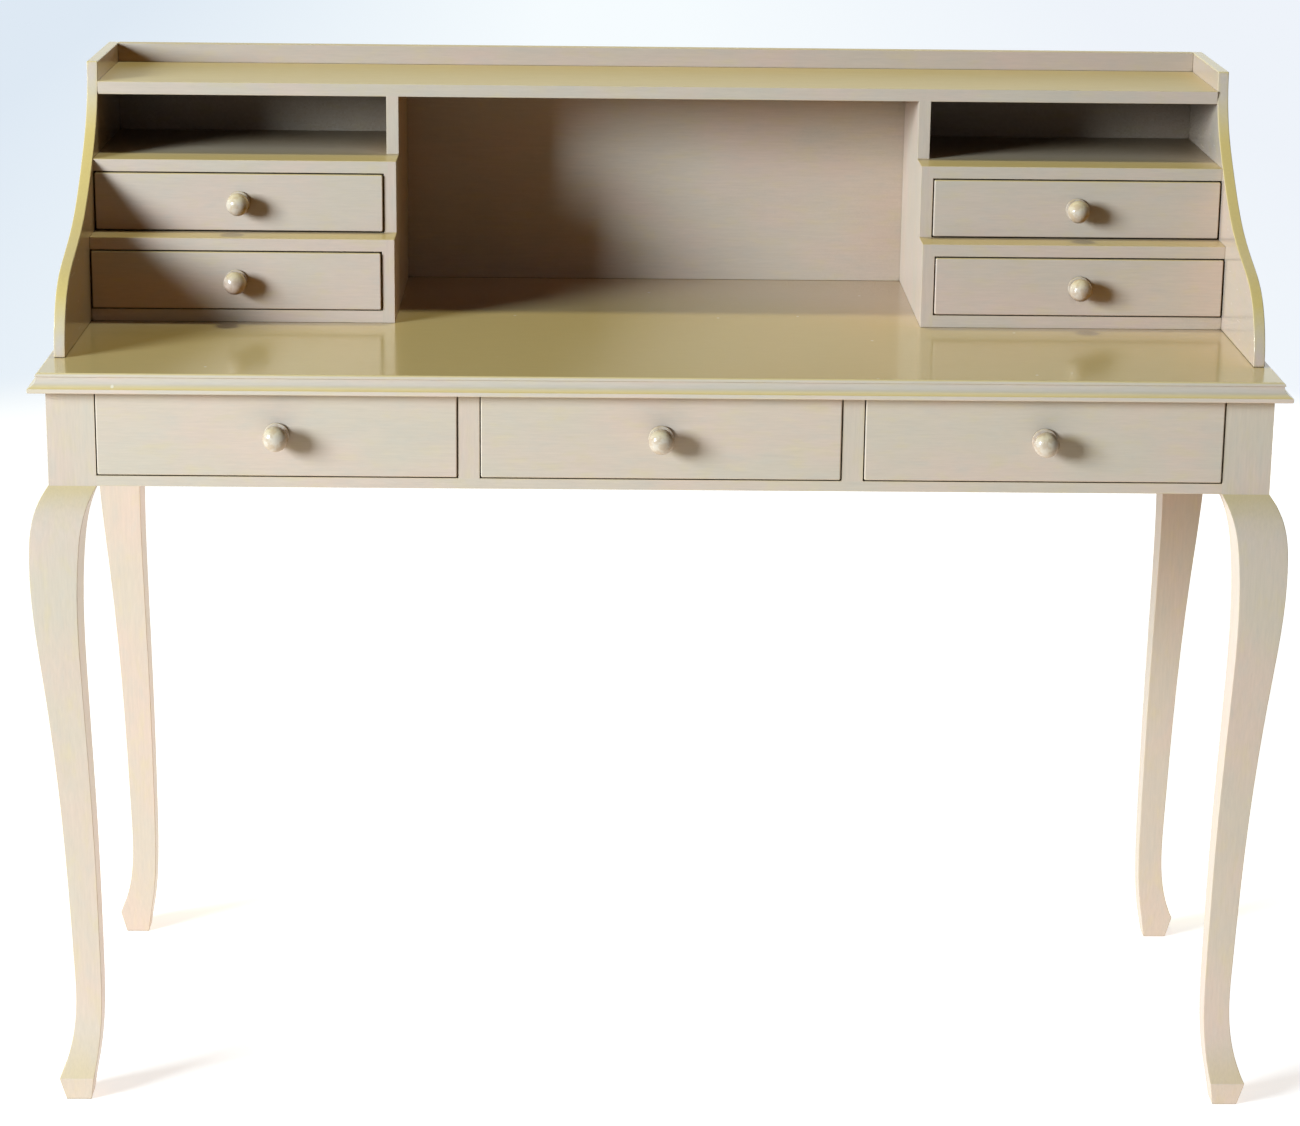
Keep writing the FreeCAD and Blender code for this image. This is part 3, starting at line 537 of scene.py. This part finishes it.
def whole_panel(panel, paint):
    """A side panel drawn inwards from its outer face and rebated for the back.

    It is drawn without its housings, because the boards fill them.
    """
    outer, inner = panel_faces(panel)
    piece = taken_up(panel, "painted", paint)
    bpy.ops.object.mode_set(mode="EDIT")
    bpy.ops.mesh.select_mode(type="FACE")
    bpy.ops.mesh.select_all(action="DESELECT")
    mesh = bmesh.from_edit_mesh(piece.data)
    for face in mesh.faces:
        face.select_set(any(abs(vertex.co.x - outer) > MERGE_GAP for vertex in face.verts))
    bmesh.update_edit_mesh(piece.data)
    bpy.ops.mesh.delete(type="FACE")
    bpy.ops.mesh.select_all(action="SELECT")
    bpy.ops.mesh.extrude_region_move(TRANSFORM_OT_translate={"value": (inner - outer, 0, 0)})
    bpy.ops.mesh.select_all(action="SELECT")
    bpy.ops.mesh.normals_make_consistent(inside=False)
    bpy.ops.object.mode_set(mode="OBJECT")
    cut_by(piece, taken_up("back_panel", "rebate", paint), "DIFFERENCE")
    return piece


CASE_LAP = 0.1 * MM                   # how far the case still reaches into each side panel
CASE_REACH = 1.0                      # metres, more than the case's depth or height
CASE_MIDDLE = 1.0                     # metres above the floor, within the case's height


def between_panels(case):
    """The case cut down to what shows between the side panels' inner faces."""
    left, right = (panel_faces(panel)[1] for panel in SIDE_PANELS)
    deselect()
    bpy.ops.mesh.primitive_cube_add(size=1, location=((left + right) / 2, 0, CASE_MIDDLE),
                                    scale=(right - left + 2 * CASE_LAP, CASE_REACH, CASE_REACH))
    block = bpy.context.active_object
    block.data.materials.append(case.data.materials[0])
    bpy.ops.object.transform_apply(location=True, rotation=True, scale=True)
    cut_by(case, block, "INTERSECT")
    return case


class DESK_OT_paint_superstructure(bpy.types.Operator):
    """Glue, ease and paint the stepped case, and ease and paint the side panels and the back"""

    bl_idname = "desk.paint_superstructure"
    bl_label = "Paint the Superstructure"

    def execute(self, context):
        shapes = context.scene.desk_shapes
        case = eased(between_panels(seamless("painted_case", CASE_BOARDS)), shapes.board_arris)
        finish(case, "carcase_paint", CARCASE, *CASE_BOARDS)
        # Painted light: the side panels take the full yellower colour of the warm light from above on their
        # up-facing S-edges.
        worn = once(greige_paint, "Y", name="edge_worn_greige_paint", gloss=0.22, varnish=0.5,
                    rub=(2.5, 0.8), yellowing=1.0)
        for panel in SIDE_PANELS:
            finish(eased(whole_panel(panel, worn), shapes.panel_arris), "carcase_paint", CARCASE, panel)
        # Painted shade: the back panel and gallery rail are painted a little darker, as they stand back in
        # the shade of the case.
        recess_shaded = once(greige_paint, "X", name="dulled_greige_paint", lift=0.92)
        for board in BACK_BOARDS:
            piece = eased(taken_up(board, "painted", recess_shaded), shapes.board_arris)
            finish(piece, "carcase_paint", CARCASE, board)
        return {"FINISHED"}


CORNER_SEGMENTS = 5
FRONT_ARRIS_SEGMENTS = 4


def rounding_block(drawer, paint):
    """A block just round a drawer's front, its four corners and the arris of its face rounded over."""
    shapes = bpy.context.scene.desk_shapes
    low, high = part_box(f"{drawer}_front")
    deselect()
    bpy.ops.mesh.primitive_cube_add(size=1, location=(low + high) / 2, scale=high - low)
    block = bpy.context.active_object
    block.data.materials.append(paint)
    bpy.ops.object.transform_apply(location=True, rotation=True, scale=True)
    bpy.ops.object.mode_set(mode="EDIT")
    selected_edges(block, lambda one, other: abs(one.y - other.y) > shapes.front_corner)
    bpy.ops.mesh.bevel(offset=shapes.front_corner, segments=CORNER_SEGMENTS, affect="EDGES")
    selected_edges(block, lambda one, other: max(one.y, other.y) < low.y + MERGE_GAP)
    bpy.ops.mesh.bevel(offset=shapes.front_arris, segments=FRONT_ARRIS_SEGMENTS, affect="EDGES")
    bpy.ops.object.mode_set(mode="OBJECT")
    return block


class DESK_OT_paint_drawers(bpy.types.Operator):
    """Round over and paint the drawers' fronts"""

    bl_idname = "desk.paint_drawers"
    bl_label = "Paint the Drawer Fronts"

    def execute(self, context):
        paint = once(greige_paint, "X")
        for drawer in DRAWERS:
            front = f"{drawer}_front"
            piece = taken_up(front, "painted", paint)
            cut_by(piece, rounding_block(drawer, paint), "INTERSECT")
            finish(shaded(piece), "drawer_front_paint", drawer, front)
        return {"FINISHED"}


KNOB_FACETS = 48
TENON_RADIUS = 4.95 * MM
# A knob's flange and neck: millimetres out from the drawer's face, and the share of the ball's radius.
KNOB_FLANGE = ((0.0, 0.92), (0.4, 0.975), (1.0, 1.0), (1.8, 1.0),
               (2.5, 0.97), (2.9, 0.9), (3.0, 0.66), (3.8, 0.56))
SMALL_FLATNESS = 0.95                 # a small knob's ball from its widest ring to its front, over its radius
WIDE_FLATNESS = 0.8                   # the same on a wide drawer's knob
NECK_TURN = 146                       # degrees round the ball from its front to where the neck meets it
BALL_TURN = 8                         # degrees from ring to ring round the ball


def is_small(drawer):
    """Whether a drawer is one of the four in the superstructure."""
    return drawer.startswith(("upper", "lower"))


def knob_rings(drawer):
    """A knob's place across and its height, and each ring's depth and radius from the tenon to the pole."""
    low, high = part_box(f"{drawer}_knob")
    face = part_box(f"{drawer}_front")[0].y
    radius = (high.x - low.x) / 2
    flatness = SMALL_FLATNESS if is_small(drawer) else WIDE_FLATNESS
    middle = low.y + flatness * radius
    rings = [(high.y, TENON_RADIUS), (face, TENON_RADIUS)]
    rings += [(face - out * MM, share * radius) for out, share in KNOB_FLANGE]
    for turn in range(NECK_TURN, 0, -BALL_TURN):
        depth = radius * (flatness if turn < 90 else 1.0)
        rings.append((middle - depth * math.cos(math.radians(turn)), radius * math.sin(math.radians(turn))))
    return (low.x + high.x) / 2, (low.z + high.z) / 2, rings


def turned_knob(drawer, paint):
    """A closed turned knob: a disc drawn out, widened and narrowed ring by ring and closed at its pole."""
    across, height, rings = knob_rings(drawer)
    deselect()
    bpy.ops.mesh.primitive_circle_add(vertices=KNOB_FACETS, radius=rings[0][1], fill_type="NGON",
                                      location=(across, rings[0][0], height),
                                      rotation=(math.radians(90), 0, 0))
    knob = bpy.context.active_object
    knob.name = knob.data.name = f"{drawer}_knob_turned"
    bpy.ops.object.transform_apply(location=True, rotation=True, scale=True)
    bpy.ops.object.mode_set(mode="EDIT")
    bpy.ops.mesh.select_all(action="SELECT")
    for (at, radius), (next_at, next_radius) in zip(rings, rings[1:]):
        bpy.ops.mesh.extrude_region_move(TRANSFORM_OT_translate={"value": (0, next_at - at, 0)})
        share = next_radius / radius
        bpy.ops.transform.resize(value=(share, 1, share), center_override=(across, next_at, height))
    bpy.ops.mesh.merge(type="CENTER")
    bpy.ops.mesh.select_all(action="SELECT")
    bpy.ops.mesh.normals_make_consistent(inside=False)
    bpy.ops.object.mode_set(mode="OBJECT")
    knob.data.materials.append(paint)
    return shaded(knob)


def copied(piece, name, shift):
    """The same piece again with a mesh of its own, moved by that shift."""
    pick(piece)
    bpy.ops.object.duplicate()
    copy = bpy.context.active_object
    copy.name = copy.data.name = name
    bpy.ops.transform.translate(value=shift)
    bpy.ops.object.transform_apply(location=True, rotation=True, scale=True)
    return copy


class DESK_OT_turn_knobs(bpy.types.Operator):
    """Turn one knob of each size, copy it for its like drawers, and paint them"""

    bl_idname = "desk.turn_knobs"
    bl_label = "Turn the Knobs"

    def execute(self, context):
        # Painted light and shade on the knobs: a little of the yellower top colour, and grime widens the
        # painted shade in the groove behind the ball as well as browning handled patches.
        paint = once(greige_paint, "Z", name="glossy_knob_paint", gloss=0.18, varnish=0.4, rub=(1.0, 0.6),
                     yellowing=0.4, grime=0.45)
        for small in (True, False):
            first, *others = (drawer for drawer in DRAWERS if is_small(drawer) == small)
            knob = turned_knob(first, paint)
            for drawer in others:
                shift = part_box(f"{drawer}_knob")[0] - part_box(f"{first}_knob")[0]
                copy = copied(knob, f"{drawer}_knob_turned", shift)
                finish(copy, "knob_paint", drawer, f"{drawer}_knob")
            finish(knob, "knob_paint", first, f"{first}_knob")
        return {"FINISHED"}


class DESK_OT_finish_bare_wood(bpy.types.Operator):
    """Give the runners, guides and drawer boxes their bare wood"""

    bl_idname = "desk.finish_bare_wood"
    bl_label = "Finish the Bare Wood"

    def execute(self, context):
        boards = dict(BARE_BOARDS)
        for drawer in DRAWERS:
            boards.update({f"{drawer}_{board}": along for board, along in BARE_DRAWER_BOARDS.items()})
        for board, along in boards.items():
            frame["nodes"][board].material_slots[0].material = once(planed_softwood, along)
        return {"FINISHED"}


# ---- stage ----

FLOOR_SIZE = 40.0                     # metres, past the camera's far view
FAR_FLOOR = (2.9, 3.5)                # metres from the desk's middle, where the floor's tint changes
FAR_SIDE = 1.9                        # metres to either side, where the far floor has its side's tint
SIDE_START = 1 / 8                    # of that way, where the side's tint starts
SHADOW_DEPTH = 0.3                    # how much of the floor's brightness the desk's shadow takes away
FLOOR_WHITE = 0.8                     # of the light on it that the floor gives back
WINDOW_PLACE = Vector((-4.98, -3.39, 2.3))
WINDOW_AIM = Vector((0, 0, 0.8))
LAMP_PLACE = Vector((0, 0.37, 3.2))
LAMP_AIM = Vector((0, 0.37, 0))       # straight down
FILL_PLACE = Vector((3.0, 4.2, 0.9))  # level with the desktop, so that it lights only back and right end
FILL_AIM = Vector((0, 0, 0.7))
CAMERA_PLACE = Vector((-0.0655, -3.5511, 1.4931))
CAMERA_TURN = math.radians(0.9665)    # towards +X
CAMERA_DIP = math.radians(15.4403)    # below level
CAMERA_TILT = math.radians(-0.6623)   # about its own view
CAMERA_LENS = 95.39                   # millimetres, over a film 36 mm wide


def camera_axes():
    """The camera's right, up and backward directions, from its turn, dip and tilt."""
    forward = Vector((math.sin(CAMERA_TURN) * math.cos(CAMERA_DIP),
                      math.cos(CAMERA_TURN) * math.cos(CAMERA_DIP), -math.sin(CAMERA_DIP)))
    level = Vector((math.cos(CAMERA_TURN), -math.sin(CAMERA_TURN), 0))
    down = forward.cross(level)
    right = math.cos(CAMERA_TILT) * level + math.sin(CAMERA_TILT) * down
    dipped = -math.sin(CAMERA_TILT) * level + math.cos(CAMERA_TILT) * down
    return right, -dipped, -forward


def seen_rays(tree):
    """1 for what is seen straight, in a gloss or through glass, 0 for light on its way to the desk."""
    path = add(tree, "ShaderNodeLightPath")
    seen = add(tree, "ShaderNodeMath", {0: path.outputs["Is Camera Ray"], 1: path.outputs["Is Glossy Ray"]},
               operation="MAXIMUM").outputs[0]
    return add(tree, "ShaderNodeMath", {0: seen, 1: path.outputs["Is Transmission Ray"]},
               operation="MAXIMUM").outputs[0]


def pale_floor():
    """A smooth pale floor that keeps the desk's shadow and is near white to the eye."""
    light = bpy.context.scene.desk_light
    material, tree = new_material("pale_studio_floor")
    coords = add(tree, "ShaderNodeTexCoord").outputs["Object"]
    place = add(tree, "ShaderNodeSeparateXYZ", {0: coords})
    away = add(tree, "ShaderNodeVectorMath", {0: coords}, operation="LENGTH").outputs["Value"]
    far = add(tree, "ShaderNodeMapRange", dict(zip(RANGE_SOCKETS, (away, *FAR_FLOOR))),
              interpolation_type="SMOOTHSTEP").outputs[0]
    behind = add(tree, "ShaderNodeMapRange", {"Value": place.outputs["Y"],
                                              "From Max": FAR_FLOOR[0]}).outputs[0]
    tint = opaque(light.floor_far)
    for side, reach in ((light.floor_left, -FAR_SIDE), (light.floor_right, FAR_SIDE)):
        aside = add(tree, "ShaderNodeMapRange", {"Value": place.outputs["X"], "From Min": reach * SIDE_START,
                                                 "From Max": reach}).outputs[0]
        share = add(tree, "ShaderNodeMath", {0: aside, 1: behind}, operation="MULTIPLY").outputs[0]
        tint = add(tree, "ShaderNodeMix", {0: share, MIX_A: tint, MIX_B: opaque(side)},
                   data_type="RGBA").outputs[MIX_OUT]
    tint = add(tree, "ShaderNodeMix", {0: far, MIX_A: opaque(light.floor_near), MIX_B: tint},
               data_type="RGBA").outputs[MIX_OUT]
    plain_share = add(tree, "ShaderNodeMapRange", {"Value": far, "To Min": 1 - SHADOW_DEPTH}).outputs[0]
    lit_share = add(tree, "ShaderNodeMapRange", {"Value": far, "To Min": FLOOR_WHITE,
                                                 "To Max": 0.0}).outputs[0]
    plain = add(tree, "ShaderNodeEmission", {"Color": tint, "Strength": plain_share}).outputs[0]
    lit = add(tree, "ShaderNodeBsdfDiffuse", {"Color": lit_share}).outputs[0]
    shown = add(tree, "ShaderNodeAddShader", {0: plain, 1: lit}).outputs[0]
    about = add(tree, "ShaderNodeMapRange", {"Value": away, "From Min": 2 * light.glow_reach,
                                             "From Max": light.glow_reach}).outputs[0]
    bounce = add(tree, "ShaderNodeBsdfDiffuse", {"Color": opaque(light.bounce)}).outputs[0]
    strength = add(tree, "ShaderNodeMath", {0: about, 1: light.glow_strength},
                   operation="MULTIPLY").outputs[0]
    glow = add(tree, "ShaderNodeEmission", {"Color": opaque(light.glow), "Strength": strength}).outputs[0]
    thrown = add(tree, "ShaderNodeAddShader", {0: bounce, 1: glow}).outputs[0]
    mixed = add(tree, "ShaderNodeMixShader", {0: seen_rays(tree), 1: thrown, 2: shown}).outputs[0]
    add(tree, "ShaderNodeOutputMaterial", {"Surface": mixed})
    return material


def soft_light(name, place, aim, tint, power):
    """An area light at that place, turned to its aim and out of the camera's sight."""
    turned = (aim - place).to_track_quat("-Z", "Y").to_euler()
    bpy.ops.object.light_add(type="AREA", location=place, rotation=turned)
    made = bpy.context.active_object
    made.name = name
    made.data.color = tint
    made.data.energy = power
    made.visible_camera = False
    return made


class DESK_OT_set_stage(bpy.types.Operator):
    """Lay the floor, hang the window, the fill light and the lamp, and stand the camera"""

    bl_idname = "desk.set_stage"
    bl_label = "Set the Stage"

    def execute(self, context):
        light = context.scene.desk_light
        deselect()
        bpy.ops.mesh.primitive_plane_add(size=FLOOR_SIZE)
        floor = context.active_object
        floor.name = "floor"
        floor.data.materials.append(pale_floor())

        window = soft_light("window", WINDOW_PLACE, WINDOW_AIM, light.window, light.window_power)
        window.data.shape = "RECTANGLE"
        window.data.size, window.data.size_y = light.window_width, light.window_height
        fill = soft_light("fill", FILL_PLACE, FILL_AIM, light.fill, light.fill_power)
        fill.data.size = light.fill_width
        fill.visible_glossy = False
        lamp = soft_light("lamp", LAMP_PLACE, LAMP_AIM, light.lamp, light.lamp_power)
        lamp.data.shape = "DISK"
        lamp.data.size = light.lamp_width
        lamp.visible_glossy = False

        world = bpy.data.worlds.new("room")
        world.use_nodes = True
        tree = world.node_tree
        tree.nodes.clear()
        backdrop = add(tree, "ShaderNodeBackground", {"Color": opaque(light.floor_far)}).outputs[0]
        shown = add(tree, "ShaderNodeMixShader", {0: seen_rays(tree), 2: backdrop}).outputs[0]
        add(tree, "ShaderNodeOutputWorld", {"Surface": shown})
        context.scene.world = world
        context.scene.view_settings.view_transform = "Standard"

        bpy.ops.object.camera_add()
        camera = context.active_object
        camera.name = "camera"
        camera.matrix_world = Matrix.Translation(CAMERA_PLACE) @ Matrix(camera_axes()).transposed().to_4x4()
        camera.data.lens = CAMERA_LENS
        camera.data.sensor_fit = "HORIZONTAL"
        camera.data.clip_end = 2 * FLOOR_SIZE
        context.scene.camera = camera
        return {"FINISHED"}


class DESK_PT_dressing(bpy.types.Panel):
    """The desk's operators and settings"""

    bl_label = "Bonheur du Jour"
    bl_space_type = "VIEW_3D"
    bl_region_type = "UI"
    bl_category = "Desk"

    def draw(self, context):
        for operator in OPERATORS:
            self.layout.operator(operator.bl_idname)
        for name in SETTINGS:
            group = getattr(context.scene, name)
            box = self.layout.box()
            for setting in group.__annotations__:
                box.prop(group, setting)


SETTINGS = {"desk_paint": DeskPaint, "desk_wood": DeskWood,
            "desk_shapes": DeskShapes, "desk_light": DeskLight}
OPERATORS = (DESK_OT_set_stage, DESK_OT_paint_base, DESK_OT_paint_superstructure,
             DESK_OT_paint_drawers, DESK_OT_turn_knobs, DESK_OT_finish_bare_wood)
CLASSES = (*SETTINGS.values(), *OPERATORS, DESK_PT_dressing)


def register():
    """Adds the desk's classes and its settings to Blender."""
    for cls in CLASSES:
        bpy.utils.register_class(cls)
    for name, group in SETTINGS.items():
        setattr(bpy.types.Scene, name, PointerProperty(type=group))


def unregister():
    """Takes the desk's settings and its classes out of Blender again."""
    for name in SETTINGS:
        delattr(bpy.types.Scene, name)
    for cls in reversed(CLASSES):
        bpy.utils.unregister_class(cls)


def main():
    """Dresses the whole desk."""
    register()
    for operator in OPERATORS:
        group, name = operator.bl_idname.split(".")
        getattr(getattr(bpy.ops, group), name)()
    deselect()


if __name__ == "__main__":
    main()
